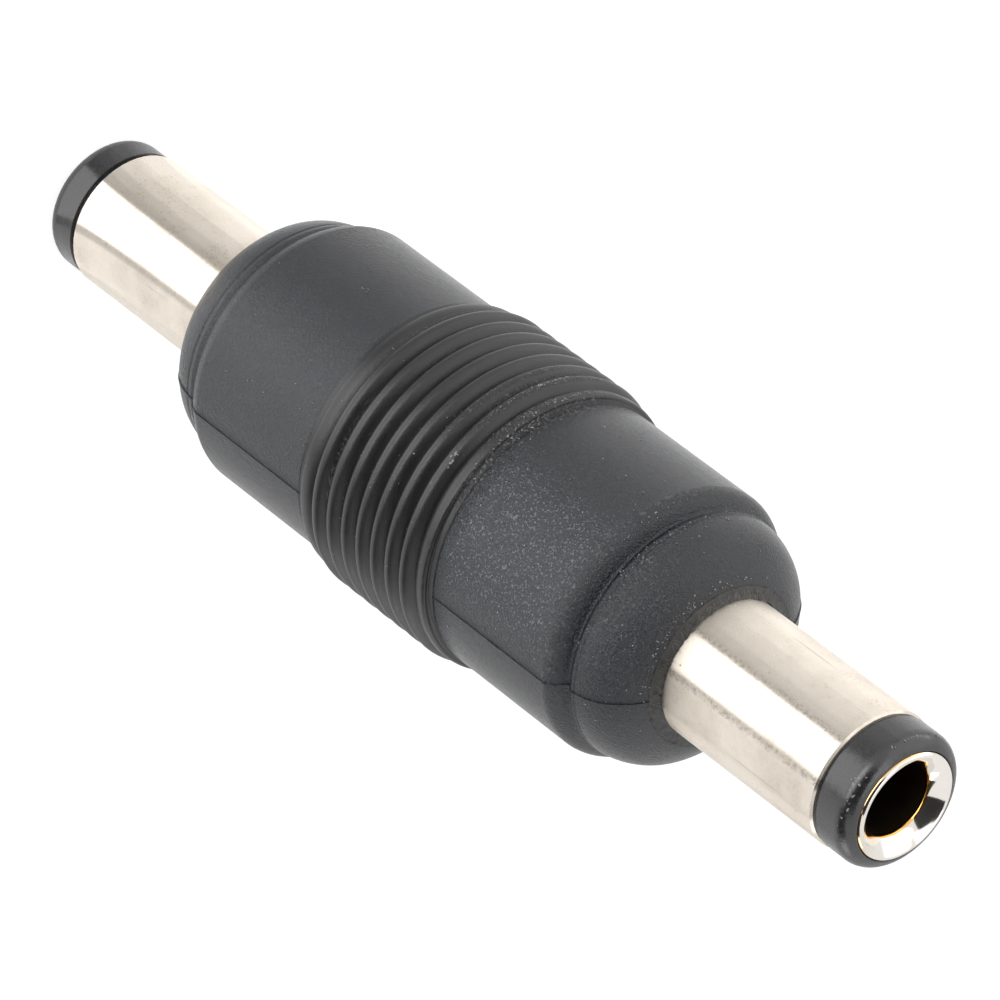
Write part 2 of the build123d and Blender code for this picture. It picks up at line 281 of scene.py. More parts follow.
def metalMaterial(name, values):
    material, tree, shader, place = startMaterial(name)
    marks = useGroup(tree, turnedMarks, {"Vector": place, "Rings": values["rings"], "Scratches": values["scratches"]})
    tone = blendColour(tree, remap(tree, marks["Rub"], *rubToneSpan), values["light"], values["dark"])
    scratched = blendColour(tree, times(tree, marks["Scratch"], values["scratchShow"]), tone, values["scratch"])
    pitted = blendColour(tree, times(tree, marks["Pit"], values["pits"]), scratched, values["pit"])
    grime = times(tree, remap(tree, noise(tree, place, *values["grimeNoise"]), *values["grimeSpan"]),
                  remap(tree, marks["Rub"], *values["grimeRubSpan"]))
    grimyWithEdgeReflections = blendColour(tree, times(tree, grime, values["grime"]), pitted, values["pit"])
    # dark streaks along the barrel: partly dirt, partly painted reflection of the dark borders beside the highlight
    # band, fainter on the back half
    front = remap(tree, stationOf(tree, place), *frontSpan, values["smearAndEdgeAtBack"], 1.0)
    for azimuth, spread, blur, amount in values["smearsAndEdgeReflections"]:
        smearAndEdgeReflection = times(tree, facing(tree, place, azimuth, spread, blur), amount, front,
                      remap(tree, noise(tree, place, *values["smearAndEdgeNoise"]), *values["smearAndEdgeSpan"]))
        grimyWithEdgeReflections = blendColour(tree, smearAndEdgeReflection, grimyWithEdgeReflections, values["smearAndEdgeReflection"])
    tree.links.new(grimyWithEdgeReflections, shader.inputs["Base Color"])
    rough = remap(tree, marks["Rub"], *rubRoughSpan, values["roughLow"], values["roughHigh"])
    tree.links.new(rough, shader.inputs["Roughness"])
    shader.inputs["Metallic"].default_value = 1.0
    shader.inputs["Anisotropic"].default_value = values["anisotropic"]
    shader.inputs["Anisotropic Rotation"].default_value = values["markTurn"]
    setBump(tree, shader, marks["Height"], values["bump"])
    return material


def mouthMaterial(name, values):
    # the centre contact: polished flare, bare brass on its worn rim, and painted shade inside the bore
    material, tree, shader, place = startMaterial(name)
    marks = useGroup(tree, turnedMarks, {"Vector": place, "Rings": values["rings"], "Scratches": values["scratches"]})
    away = addNode(tree, "ShaderNodeVectorMath", {0: acrossAxis(tree, place)}, operation="LENGTH").outputs["Value"]
    fromMiddle = calc(tree, "ABSOLUTE", stationOf(tree, place))
    wobble = times(tree, calc(tree, "SUBTRACT", marks["Rub"], 0.5), values["wobble"])
    depth = calc(tree, "ADD", fromMiddle, wobble)
    boreOuter, boreInner = values["boreEdge"]
    bore = remap(tree, away, boreOuter * mm, boreInner * mm)
    # painted shade: the bore past the throat is coloured dark
    inside = times(tree, remap(tree, depth, values["throat"] + values["throatBlur"], values["throat"]), bore)
    edgeHeight, edgeHalf, edgeBlur = values["brassEdge"]
    edge = times(tree, band(tree, depth, values["throat"] + edgeHeight, edgeHalf, edgeBlur), bore)
    rimInner, rimOuter = values["rimEdge"]
    rim = remap(tree, calc(tree, "ADD", away, times(tree, wobble, mm)), rimInner * mm, rimOuter * mm)
    tone = blendColour(tree, remap(tree, marks["Rub"], *rubToneSpan), values["light"], values["dark"])
    pitted = blendColour(tree, times(tree, marks["Pit"], values["pits"]), tone, values["pit"])
    bare = calc(tree, "MAXIMUM", times(tree, rim, values["rimWear"]), times(tree, edge, values["edgeWear"]))
    worn = blendColour(tree, bare, pitted, values["brass"])
    tree.links.new(blendColour(tree, inside, worn, values["inside"]), shader.inputs["Base Color"])
    rough = remap(tree, marks["Rub"], *rubRoughSpan, values["roughLow"], values["roughHigh"])
    rough = calc(tree, "ADD", rough, times(tree, inside, values["insideRough"]))
    tree.links.new(rough, shader.inputs["Roughness"])
    shader.inputs["Metallic"].default_value = 1.0
    setBump(tree, shader, marks["Height"], values["bump"])
    return material


gripPlastic = {
    "grain": 13000.0, "flecks": 0.02, "dustShow": 0.5, "dust": rgb(0.42, 0.42, 0.43),
    "dark": rgb(0.007, 0.009, 0.013), "light": rgb(0.012, 0.015, 0.022), "roughLow": 0.17, "roughHigh": 0.27,
    "ior": 1.6, "bump": 0.000034,
    # the ribs: station of the middle, half width and blur of their zone, and how much grain they keep
    "ribZone": (0.0, 3.8, 0.15), "ribDark": rgb(0.011, 0.011, 0.011), "ribLight": rgb(0.018, 0.018, 0.018),
    "ribRough": 0.13, "ribGrain": 0.3,
    # pale specks on the coarse grain, most of them a painted sparkle of the highlight on the side of the front section
    # where the highlight falls
    "sparkleNoise": (10500.0, 2.0, 0.75), "sparkleRise": 1.5, "speckAndPaintedSparkle": rgb(0.20, 0.213, 0.255), "speckShow": 0.96,
    "speckSpan": (0.55, 0.66), "speckZone": (7.1, 2.7, 0.2), "speckElsewhere": 0.3, "speckAtBack": 0.45,
    "paintedSparkleSide": (viewAzimuth + 12.0, 12.0, 26.0), "awayFromSparkleSide": 0.12,
    # torn plastic, with the station, half width, azimuth, spread and amount of each patch
    "crumbNoise": (7800.0, 3.0, 0.8), "crumbSpan": (0.5, 0.6), "tornBlur": 0.1, "tornTurnBlur": 16.0,
    "tornRise": 1.6, "tornRough": 0.12, "tornShow": 0.6, "tornColour": rgb(0.30, 0.30, 0.31),
    "torn": [
        (3.85, 0.25, -82.0, 30.0, 0.9), (3.3, 0.14, -96.0, 22.0, 0.8), (2.5, 0.12, -98.0, 20.0, 0.75),
        (1.68, 0.1, -84.0, 16.0, 0.6), (-2.9, 0.1, -95.0, 22.0, 0.4), (11.15, 0.1, -70.0, 34.0, 0.45),
        (10.2, 0.08, -60.0, 50.0, 0.4), (4.15, 0.3, -50.0, 12.0, 0.5), (9.8, 0.2, -38.0, 20.0, 0.5),
        (9.98, 0.03, -62.0, 62.0, 0.8), (11.65, 0.4, -54.0, 12.0, 0.5), (2.1, 0.1, -100.0, 12.0, 0.6),
        (-2.0, 0.12, -30.0, 10.0, 0.4),
    ],
}
tipPlastic = {
    "grain": 5200.0, "flecks": 0.03, "dustShow": 0.5, "dust": rgb(0.4, 0.4, 0.4),
    "dark": rgb(0.016, 0.016, 0.018), "light": rgb(0.026, 0.026, 0.028), "roughLow": 0.2, "roughHigh": 0.31,
    "ior": 1.74, "bump": 0.000008,
}
nosePlastic = dict(tipPlastic, dark=rgb(0.008, 0.008, 0.009), light=rgb(0.022, 0.02, 0.018),
                   roughLow=0.4, roughHigh=0.6, bump=0.00003)
threadPlastic = dict(nosePlastic, dark=rgb(0.07, 0.062, 0.052), light=rgb(0.32, 0.28, 0.24))
corePlastic = dict(tipPlastic, dark=rgb(0.62, 0.60, 0.54), light=rgb(0.78, 0.77, 0.72), roughLow=0.4, roughHigh=0.55)
washerBoard = dict(tipPlastic, dark=rgb(0.20, 0.10, 0.04), light=rgb(0.36, 0.20, 0.09), roughLow=0.5, roughHigh=0.7)
redInsulation = dict(tipPlastic, dark=rgb(0.32, 0.02, 0.015), light=rgb(0.5, 0.04, 0.03))
blackInsulation = dict(tipPlastic, dark=rgb(0.012, 0.012, 0.012), light=rgb(0.022, 0.022, 0.022))
paleCrumbs = dict(tipPlastic, dark=rgb(0.20, 0.20, 0.21), light=rgb(0.55, 0.55, 0.56), roughLow=0.5, roughHigh=0.7)
sleevePlate = {
    "rings": 8200.0, "scratches": 0.5, "scratchShow": 0.75, "scratch": rgb(0.5, 0.45, 0.4),
    "light": rgb(0.88, 0.80, 0.70), "dark": rgb(0.79, 0.71, 0.61), "roughLow": 0.26, "roughHigh": 0.33,
    "pits": 0.6, "pit": rgb(0.35, 0.28, 0.2), "bump": 0.0000012,
    "grime": 0.35, "grimeNoise": (9000.0, 2.0, 0.8), "grimeSpan": (0.5, 0.7), "grimeRubSpan": (0.42, 0.62),
    # azimuth, spread, blur and amount of each dark streak along the barrel: partly dirt, partly painted reflection of
    # the dark borders beside the highlight band
    "smearsAndEdgeReflections": [(-61.5, 0.5, 3.0, 0.32), (-58.0, 0.5, 8.0, 0.2), (-25.0, 1.0, 3.0, 0.5)],
    "smearAndEdgeReflection": rgb(0.33, 0.29, 0.25), "smearAndEdgeNoise": (7000.0, 3.0, 0.8), "smearAndEdgeSpan": (0.44, 0.62), "smearAndEdgeAtBack": 0.3,
    "anisotropic": 1.0, "markTurn": 0.25,  # the marks run round, so light spreads along the axis
}
socketPlate = {
    "rings": 9000.0, "scratches": 0.2, "light": rgb(0.86, 0.82, 0.77), "dark": rgb(0.74, 0.69, 0.62),
    "roughLow": 0.07, "roughHigh": 0.15, "pits": 0.7, "pit": rgb(0.3, 0.25, 0.2), "bump": 0.000001,
    # where the painted shade inside the bore begins and where the plate is worn through, in mm, with an uneven edge
    "throat": 22.33, "throatBlur": 0.04, "boreEdge": (1.62, 1.57), "inside": rgb(0.12, 0.09, 0.06),
    "insideRough": 0.35, "brassEdge": (0.17, 0.05, 0.04), "edgeWear": 0.9, "rimEdge": (2.1, 2.16), "rimWear": 0.8,
    "brass": rgb(0.95, 0.52, 0.10), "wobble": 0.14,
}
springBronze = dict(sleevePlate, light=rgb(0.20, 0.13, 0.07), dark=rgb(0.10, 0.065, 0.036), anisotropic=0.2,
                    roughLow=0.4, roughHigh=0.5)
tinnedLug = dict(sleevePlate, light=rgb(0.74, 0.73, 0.70), dark=rgb(0.56, 0.55, 0.52), anisotropic=0.1)
tinnedCopper = dict(sleevePlate, light=rgb(0.78, 0.66, 0.56), dark=rgb(0.60, 0.46, 0.36), anisotropic=0.1)
solderMetal = dict(sleevePlate, light=rgb(0.62, 0.62, 0.64), dark=rgb(0.44, 0.44, 0.46), anisotropic=0.0)

bodyFinish = bodyMaterial("gripPlastic", gripPlastic)
crumbFinish = plasticMaterial("paleCrumbs", paleCrumbs)
noseFinish = plasticMaterial("nosePlastic", nosePlastic)
threadFinish = plasticMaterial("threadPlastic", threadPlastic)
finishes = {
    "grip_overmould": bodyFinish,
    "inner_mould": plasticMaterial("corePlastic", corePlastic),
    "centre_wire_insulation": plasticMaterial("redInsulation", redInsulation),
    "sleeve_wire_insulation": plasticMaterial("blackInsulation", blackInsulation),
}
endFinishes = {
    "tip_insulator": plasticMaterial("tipPlastic", tipPlastic),
    "rear_washer": plasticMaterial("washerBoard", washerBoard),
    "sleeve": metalMaterial("sleevePlate", sleevePlate),
    "socket": mouthMaterial("socketPlate", socketPlate),
    "contact_spring": metalMaterial("springBronze", springBronze),
    "centre_lug": metalMaterial("tinnedLug", tinnedLug),
    "centre_solder": metalMaterial("solderMetal", solderMetal),
}
endFinishes["sleeve_lug"] = endFinishes["centre_lug"]
endFinishes["sleeve_solder"] = endFinishes["centre_solder"]
for endName in plugSides:
    for pieceName, finish in endFinishes.items():
        finishes[endName + "_" + pieceName] = finish
finishes["centre_link_wire"] = metalMaterial("tinnedCopper", tinnedCopper)
finishes["sleeve_link_wire"] = finishes["centre_link_wire"]
for nodeName, finish in finishes.items():
    nodes[nodeName].data.materials.clear()
    nodes[nodeName].data.materials.append(finish)
print("stage: materials on", len(finishes), "nodes")


# Turned pieces: an outline of (station, radius) points in mm is drawn point by point and spun

mergeDistance = 0.0004 * mm


def startPoint(name, spot):
    # one selected vertex at the spot, in edit mode
    bpy.ops.object.select_all(action="DESELECT")
    bpy.ops.mesh.primitive_plane_add(size=mm, location=spot)
    piece = bpy.context.object
    piece.name = name
    bpy.ops.object.transform_apply(location=True, rotation=True, scale=True)
    bpy.ops.object.mode_set(mode="EDIT")
    bpy.ops.mesh.select_all(action="SELECT")
    bpy.ops.mesh.merge(type="CENTER")
    return piece


def drawOutline(name, outline, side=1, azimuth=90.0):
    aim = direction(azimuth)
    points = [aim * radius * mm + Vector((0, 0, middleHeight + side * station * mm)) for station, radius in outline]
    piece = startPoint(name, points[0])
    for before, after in zip(points, points[1:]):
        bpy.ops.mesh.extrude_region_move(TRANSFORM_OT_translate={"value": after - before})
    bpy.ops.mesh.select_all(action="SELECT")
    return piece


def spinRound(steps, sweep):
    bpy.ops.mesh.spin(steps=steps, angle=math.radians(sweep), center=(0, 0, 0), axis=(0, 0, 1))
    bpy.ops.mesh.select_all(action="SELECT")


def spinOutline(steps):
    spinRound(steps, 360.0)
    bpy.ops.mesh.remove_doubles(threshold=mergeDistance)
    bpy.ops.mesh.normals_make_consistent(inside=False)


def finishPiece(piece, finish, smoothAngle=40.0):
    bpy.ops.object.mode_set(mode="OBJECT")
    bpy.ops.object.select_all(action="DESELECT")
    piece.select_set(True)
    bpy.context.view_layer.objects.active = piece
    bpy.ops.object.shade_smooth_by_angle(angle=math.radians(smoothAngle))
    piece.data.materials.clear()
    piece.data.materials.append(finish)
    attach(piece, "root")


def smoothLine(points, parts):
    # points on a smooth line through the given ones
    result = [points[0]]
    last = len(points) - 1
    for index in range(last):
        before, start, stop, after = (Vector(points[min(max(index + shift, 0), last)]) for shift in (-1, 0, 1, 2))
        for part in range(1, parts + 1):
            share = part / parts
            bend = 2 * before - 5 * start + 4 * stop - after
            sway = 3 * start - before - 3 * stop + after
            spot = 0.5 * (2 * start + (stop - before) * share + bend * share * share + sway * share ** 3)
            result.append(tuple(spot))
    return result


# Moulded body: ribbed grip, smooth sections, rounded shoulders, soft creases and domed collars

bodyShape = {
    "steps": 200, "smoothAngle": 50.0, "curveParts": 3,
    "ribPitch": 0.835, "ribCount": 7, "ribRadius": 5.84, "valleyRadius": 5.49, "ribParts": 8,
    # the bead after the last rib, and its foot down to the smooth section
    "beadEnd": 3.58, "beadParts": 5, "beadReach": 0.98, "beadRadius": 5.58, "beadRise": 0.09, "beadFall": 0.02,
    "beadFoot": [(3.58, 5.56), (3.6, 5.47), (3.7, 5.432), (4.1, 5.43)],
    "bodyRadius": 5.43, "bodyStart": 3.70, "flatStart": 4.1, "flatParts": 8, "shoulderStart": 9.93,
    "shoulder": [(9.97, 5.428), (10.12, 5.39), (10.27, 5.3), (10.4, 5.16), (10.5, 5.0), (10.58, 4.87),
                 (10.66, 4.79), (10.76, 4.8), (10.86, 4.9), (10.96, 4.965), (11.08, 4.965)],
    "backShoulder": [(9.97, 5.428), (10.12, 5.39), (10.27, 5.33), (10.4, 5.25), (10.5, 5.17), (10.58, 5.09),
                     (10.66, 5.01), (10.72, 4.98), (10.78, 4.99), (10.86, 5.01), (10.96, 5.0), (11.08, 4.965)],
    "witness": [(11.11, 4.94), (11.14, 4.935), (11.17, 4.95)],
    "collar": [(11.17, 4.95), (11.4, 4.905), (11.7, 4.81), (12.0, 4.67), (12.25, 4.5), (12.45, 4.31), (12.65, 4.08),
               (12.85, 3.8), (13.0, 3.55), (13.1, 3.32), (13.12, 3.2), (13.06, 3.08)],
    "noseEnd": 12.96, "lipRadius": 3.0, "barrelBore": 2.79, "boreStart": 12.94, "neckBore": 2.57,
    "cavityEnd": 9.6, "cavityRadius": 4.1,
}


def halfBody(shape, shoulderName):
    # the outside from the grip's end bead to the nose, on one side
    ribEnd = shape["ribCount"] * shape["ribPitch"] / 2
    beadLength = (shape["beadEnd"] - ribEnd) * shape["beadReach"]
    points = []
    for part in range(1, shape["beadParts"] + 1):
        share = part / shape["beadParts"]
        turn = math.pi / 2 * share
        radius = shape["beadRadius"] + shape["beadRise"] * math.sin(2 * turn) - shape["beadFall"] * share
        points.append((ribEnd + beadLength * math.sin(turn), radius))
    points += smoothLine(shape["beadFoot"], shape["curveParts"])
    for part in range(1, shape["flatParts"] + 1):
        run = (shape["shoulderStart"] - shape["flatStart"]) * part / shape["flatParts"]
        points.append((shape["flatStart"] + run, shape["bodyRadius"]))
    points += smoothLine(shape[shoulderName], shape["curveParts"])
    return points + shape["witness"] + smoothLine(shape["collar"], shape["curveParts"])[1:]


def bodyOutside(shape):
    ribs = []
    first = -shape["ribCount"] * shape["ribPitch"] / 2
    rise = shape["ribRadius"] - shape["valleyRadius"]
    for rib in range(shape["ribCount"]):
        for part in range(shape["ribParts"] * 2):
            share = part / (shape["ribParts"] * 2)
            ribs.append((first + shape["ribPitch"] * (rib + share),
                         shape["valleyRadius"] + rise * math.sin(math.pi * share)))
    ribs.append((-first, shape["valleyRadius"]))
    back, front = halfBody(shape, "backShoulder"), halfBody(shape, "shoulder")
    return [(-station, radius) for station, radius in reversed(back)] + ribs + front


def makeBody(shape):
    outside = bodyOutside(shape)
    inside = [(shape["noseEnd"], shape["lipRadius"]), (shape["noseEnd"], shape["barrelBore"]),
              (shape["boreStart"], shape["barrelBore"]), (shape["boreStart"], shape["neckBore"]),
              (shape["cavityEnd"], shape["neckBore"]), (shape["cavityEnd"], shape["cavityRadius"])]
    inside += [(-station, radius) for station, radius in reversed(inside)]
    piece = drawOutline("mouldedBody", outside + inside + outside[:1])
    spinOutline(shape["steps"])
    finishPiece(piece, bodyFinish, shape["smoothAngle"])
    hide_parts("grip_overmould")
    return outside


bodyLine = makeBody(bodyShape)
print("stage: moulded body")


# Parting flash: a thin uneven ridge where the mould's halves met, on both sides

flashShape = {
    "sides": {"Near": 0.0, "Far": 180.0}, "rise": 0.005, "collarRise": 0.012, "depth": 0.04,
    "width": 0.6, "steps": 2, "ragged": 0.003, "seed": 3, "smoothAngle": 60.0,
}


def makeFlash(endName, side, shape):
    line = [(station, radius + shape["collarRise" if station > bodyShape["shoulderStart"] else "rise"])
            for station, radius in halfBody(bodyShape, "shoulder" if side > 0 else "backShoulder")
            if station > bodyShape["bodyStart"]]
    for sideName, azimuth in shape["sides"].items():
        piece = drawOutline(endName + sideName + "Flash", line, side, azimuth)
        spinRound(shape["steps"], shape["width"])
        bpy.ops.transform.vertex_random(offset=shape["ragged"] * mm, seed=shape["seed"])
        bpy.ops.mesh.normals_make_consistent(inside=False)
        bpy.ops.object.mode_set(mode="OBJECT")
        wall = piece.modifiers.new("wall", "SOLIDIFY")
        wall.thickness, wall.offset = shape["depth"] * mm, 0.0
        bpy.ops.object.modifier_apply(modifier=wall.name)
        finishPiece(piece, bodyFinish, shape["smoothAngle"])


for endName, side in plugSides.items():
    makeFlash(endName, side, flashShape)
print("stage: parting flash")


# Centre contacts: the flared mouth with its rounded rim, the blind bore and the riveted tail

contactShape = {
    "steps": 128, "smoothAngle": 35.0, "curveParts": 4,
    "flare": [(22.35, 1.55), (22.38, 1.44), (22.45, 1.405), (22.56, 1.45), (22.72, 1.58), (22.88, 1.74), (23.0, 1.9),
              (23.05, 1.975)],
    "rim": [(23.05, 1.99), (23.045, 2.04), (23.01, 2.1), (22.94, 2.145), (22.85, 2.16)],
    "tail": [(22.35, 1.75), (9.0, 1.75), (9.0, 0.9), (6.3, 0.9), (6.3, 1.25), (5.9, 1.25), (5.9, 0.0)],
    "bore": [(10.95, 0.0), (11.55, 1.45), (13.05, 1.45), (13.05, 1.55), (22.35, 1.55)],
}


def makeContact(endName, side, shape):
    flare = smoothLine(shape["flare"], shape["curveParts"])
    outline = shape["tail"][::-1] + shape["rim"][::-1] + flare[::-1] + shape["bore"][::-1]
    piece = drawOutline(endName + "Contact", outline, side)
    spinOutline(shape["steps"])
    finishPiece(piece, finishes[endName + "_socket"], shape["smoothAngle"])
    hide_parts(endName + "_socket")


for endName, side in plugSides.items():
    makeContact(endName, side, contactShape)
print("stage: centre contacts")


# Torn film round the barrels where they leave the moulding, and threads, hairs and crumbs of plastic

noseFlash = {
    "steps": 180, "ragged": 0.045, "seed": 4, "smoothAngle": 30.0,
    "skirt": [(12.98, 2.765), (13.29, 2.765), (13.24, 2.82), (13.2, 2.93), (13.16, 3.06), (13.13, 3.18), (13.08, 3.28),
              (12.98, 3.3)],
}
plugShape = {
    # the outside beyond the moulding, that crumbs lie on
    "barrelStart": 13.12, "barrelRadius": 2.75, "tipStart": 21.2, "tipRadius": 2.7,
    "roundStart": 22.31, "roundLength": 0.62, "roundFoot": 2.24, "roundRise": 0.46,
    "shortestRun": 0.0001,
}
threadPoints = 4
fuzzValues = {
    "count": 110, "thick": 0.0045, "taper": 0.7, "seed": 23, "start": 13.16, "radius": 2.765,
    "sweep": (-74.0, 30.0, -34.0), "length": (0.06, 0.3), "twist": (-3.0, 3.0), "lift": (0.0, 0.09),
}
hairValues = {
    "count": 150, "thick": 0.0055, "taper": 0.6, "seed": 11, "length": (0.1, 0.38), "lean": (-0.3, 0.3),
    "twist": (-9, 9), "wander": (-1, 1), "proud": 0.01, "bow": 0.1,
    "stations": [-2.9, -1.3, 1.25, 2.6, 3.5, 3.7], "sweep": (-70, 60),
    # the hairs that lie on the film round the barrel
    "noseShare": 0.8, "noseStations": (12.9, 13.12), "noseSweep": (-85, 60), "noseReach": (2.98, 3.1),
    "noseRise": (0.0, 0.04), "noseTwist": 3, "noseNarrowing": 0.24, "noseStart": 13.15, "noseRun": 0.14,
}
fleckValues = {
    "size": 0.045, "squash": (1.5, 0.8, 0.5), "ragged": 0.012, "raggedSeed": 2, "seed": 5, "smoothAngle": 20.0,
    "turn": (0, 6), "grow": (0.5, 1.3), "proud": 0.004, "first": (2.7, 2.0, 0.005),
    # station and its spread, azimuth from the camera and its spread, count and size
    "sites": [
        (2.62, 0.05, 0.0, 3.0, 5, 1.3), (3.6, 0.1, -30.0, 26.0, 60, 0.7), (3.35, 0.05, -45.0, 20.0, 24, 0.7),
        (2.5, 0.05, -46.0, 18.0, 22, 0.7), (10.25, 0.04, -15.0, 50.0, 34, 0.55), (11.1, 0.12, -20.0, 45.0, 40, 0.7),
        (7.0, 3.0, 0.0, 75.0, 60, 0.6), (0.0, 3.4, 10.0, 70.0, 36, 0.6), (-6.5, 3.0, 10.0, 70.0, 16, 0.5),
        (13.05, 0.05, 0.0, 85.0, 60, 0.7), (11.8, 0.7, 0.0, 80.0, 44, 0.5), (22.6, 0.1, 5.0, 75.0, 24, 1.0),
    ],
}


def makeNoseFlash(endName, side, values):
    piece = drawOutline(endName + "NoseFlash", values["skirt"] + values["skirt"][:1], side)
    spinOutline(values["steps"])
    bpy.ops.transform.vertex_random(offset=values["ragged"] * mm, seed=values["seed"])
    bpy.ops.mesh.normals_make_consistent(inside=False)
    finishPiece(piece, noseFinish, values["smoothAngle"])


def surfaceRadius(station, plug):
    # radius of the moulding, or of the barrel and its tip beyond it
    away = abs(station)
    if away > plug["roundStart"]:
        share = (away - plug["roundStart"]) / plug["roundLength"]
        return plug["roundFoot"] + plug["roundRise"] * math.sqrt(max(1.0 - share ** 2, 0.0))
    if away > plug["barrelStart"]:
        return plug["barrelRadius"] if away < plug["tipStart"] else plug["tipRadius"]
    for (startStation, startRadius), (stopStation, stopRadius) in zip(bodyLine, bodyLine[1:]):
        if startStation <= station <= stopStation:
            share = (station - startStation) / max(stopStation - startStation, plug["shortestRun"])
            return startRadius + (stopRadius - startRadius) * share
    return bodyShape["bodyRadius"]


def onSurface(station, azimuth, proud):
    radius = surfaceRadius(station, plugShape) + proud
    return direction(azimuth) * radius * mm + Vector((0, 0, middleHeight + station * mm))


def startThreads(name, thick):
    curve = bpy.data.curves.new(name, "CURVE")
    curve.dimensions, curve.bevel_depth, curve.bevel_resolution = "3D", thick * mm, 1
    return curve


def addThread(curve, spots, taper):
    # a thread through the spots, thinner towards its free end
    spline = curve.splines.new("NURBS")
    spline.points.add(len(spots) - 1)
    for index, point in enumerate(spline.points):
        point.co = (*spots[index], 1.0)
        point.radius = 1.0 - taper * (index / (len(spots) - 1))
    spline.use_endpoint_u = True


def finishThreads(curve, name):
    threads = bpy.data.objects.new(name, curve)
    scene.collection.objects.link(threads)
    bpy.ops.object.select_all(action="DESELECT")
    threads.select_set(True)
    bpy.context.view_layer.objects.active = threads
    bpy.ops.object.convert(target="MESH")
    bpy.context.object.name = name
    finishPiece(bpy.context.object, threadFinish)


def makeFuzz(values):
    # short threads of film that lie on the front barrel where it leaves the moulding
    draw = random.Random(values["seed"])
    curve = startThreads("noseFuzz", values["thick"])
    for thread in range(values["count"]):
        azimuth, length = viewAzimuth + draw.triangular(*values["sweep"]), draw.uniform(*values["length"])
        twist, lift = draw.uniform(*values["twist"]), draw.uniform(*values["lift"])
        spots = []
        for index in range(threadPoints):
            share = index / (threadPoints - 1)
            radius = values["radius"] + lift * math.sin(math.pi * share)
            spot = direction(azimuth + twist * share * share) * radius * mm
            spot.z = middleHeight + (values["start"] + length * share) * mm
            spots.append(spot)
        addThread(curve, spots, values["taper"])
    finishThreads(curve, "noseFuzz")


def makeHairs(values):
    # every hair takes the same draws, wherever it lies
    draw = random.Random(values["seed"])
    curve = startThreads("hairs", values["thick"])
    for hair in range(values["count"]):
        atNose = hair < values["count"] * values["noseShare"]
        station = draw.uniform(*values["noseStations"]) if atNose else draw.choice(values["stations"])
        azimuth = viewAzimuth + draw.uniform(*values["noseSweep" if atNose else "sweep"])
        length = draw.uniform(*values["length"])
        lean, twist = draw.uniform(*values["lean"]) * length, draw.uniform(*values["twist"]) * length
        reach, rise = draw.uniform(*values["noseReach"]), draw.uniform(*values["noseRise"])
        spots = []
        for index in range(threadPoints):
            share, wander = index / (threadPoints - 1), draw.uniform(*values["wander"])
            if atNose:
                radius = reach - values["noseNarrowing"] * share
                spot = direction(azimuth + values["noseTwist"] * twist * share * share) * radius * mm
                run = (values["noseRun"] + abs(lean)) * share
                spot.z = middleHeight + (values["noseStart"] + rise + run) * mm
            else:
                proud = values["proud"] + values["bow"] * length * math.sin(math.pi * share)
                spot = onSurface(station + lean * share, azimuth + twist * share + wander, proud)
            spots.append(spot)
        addThread(curve, spots, values["taper"])
    finishThreads(curve, "plasticHairs")


def makeFlecks(values):
    draw = random.Random(values["seed"])
    bpy.ops.object.select_all(action="DESELECT")
    bpy.ops.mesh.primitive_ico_sphere_add(subdivisions=1, radius=values["size"] * mm, location=(0, 0, 0))
    model = bpy.context.object
    model.name = "paleFlecks"
    bpy.ops.object.mode_set(mode="EDIT")
    bpy.ops.transform.vertex_random(offset=values["ragged"] * mm, seed=values["raggedSeed"])
    bpy.ops.transform.resize(value=values["squash"])
    bpy.ops.object.mode_set(mode="OBJECT")
    spots = []
    for station, spread, azimuth, azimuthSpread, count, size in values["sites"]:
        for index in range(count):
            spots.append((draw.gauss(station, spread), viewAzimuth + draw.gauss(azimuth, azimuthSpread / 2), size))
    for station, azimuth, size in spots:
        fleck = model.copy()
        fleck.data = model.data.copy()
        scene.collection.objects.link(fleck)
        turn = Euler([draw.uniform(*values["turn"]) for axis in range(3)]).to_matrix().to_4x4()
        place = Matrix.Translation(onSurface(station, azimuth, values["proud"]))
        fleck.data.transform(place @ turn @ Matrix.Scale(size * draw.uniform(*values["grow"]), 4))
        fleck.select_set(True)
    station, azimuth, proud = values["first"]
    model.data.transform(Matrix.Translation(onSurface(station, viewAzimuth + azimuth, proud)))
    bpy.context.view_layer.objects.active = model
    bpy.ops.object.join()
    finishPiece(model, crumbFinish, values["smoothAngle"])


for endName, side in plugSides.items():
    makeNoseFlash(endName, side, noseFlash)
makeFuzz(fuzzValues)
makeHairs(hairValues)
makeFlecks(fleckValues)
print("stage: torn film, threads, hairs and flecks")


# Floor, light and camera. A card is there for reflections only.

floorValues = {"size": 3.0, "colour": rgb(0.86, 0.86, 0.86), "roughness": 0.9, "glow": 0.75, "glossyGlow": 0.51}
worldValues = {"fill": 0.18, "riseSpan": (0.55, 0.85), "glossyLow": 0.98, "glossyHigh": 1.0}
lampValues = [
    # name, azimuth, elevation, distance, width, height, power
    ("keyPanel", -38.0, 12.0, 0.26, 0.26, 0.13, 0.33),
    ("sidePanel", -150.0, 18.0, 0.28, 0.20, 0.16, 0.16),
    ("topPanel", -70.0, 78.0, 0.30, 0.20, 0.20, 0.14),
    ("lowPanel", 60.0, 12.0, 0.30, 0.16, 0.12, 0.08),
]
standDistance = 0.25
standValues = [
    # name, azimuth, elevation, width, height and brightness of each card that stands round the part
    ("darkFlag", -26.0, 42.0, 0.28, 0.36, 0.0),
    ("lowFlag", 28.0, 14.0, 0.22, 0.16, 0.0),
    ("softCard", -140.0, 36.0, 0.34, 0.26, 1.35),
]
cardShape = {"height": 0.01 * mm, "inner": 3.2 * mm, "outer": 150.0 * mm, "steps": 12}
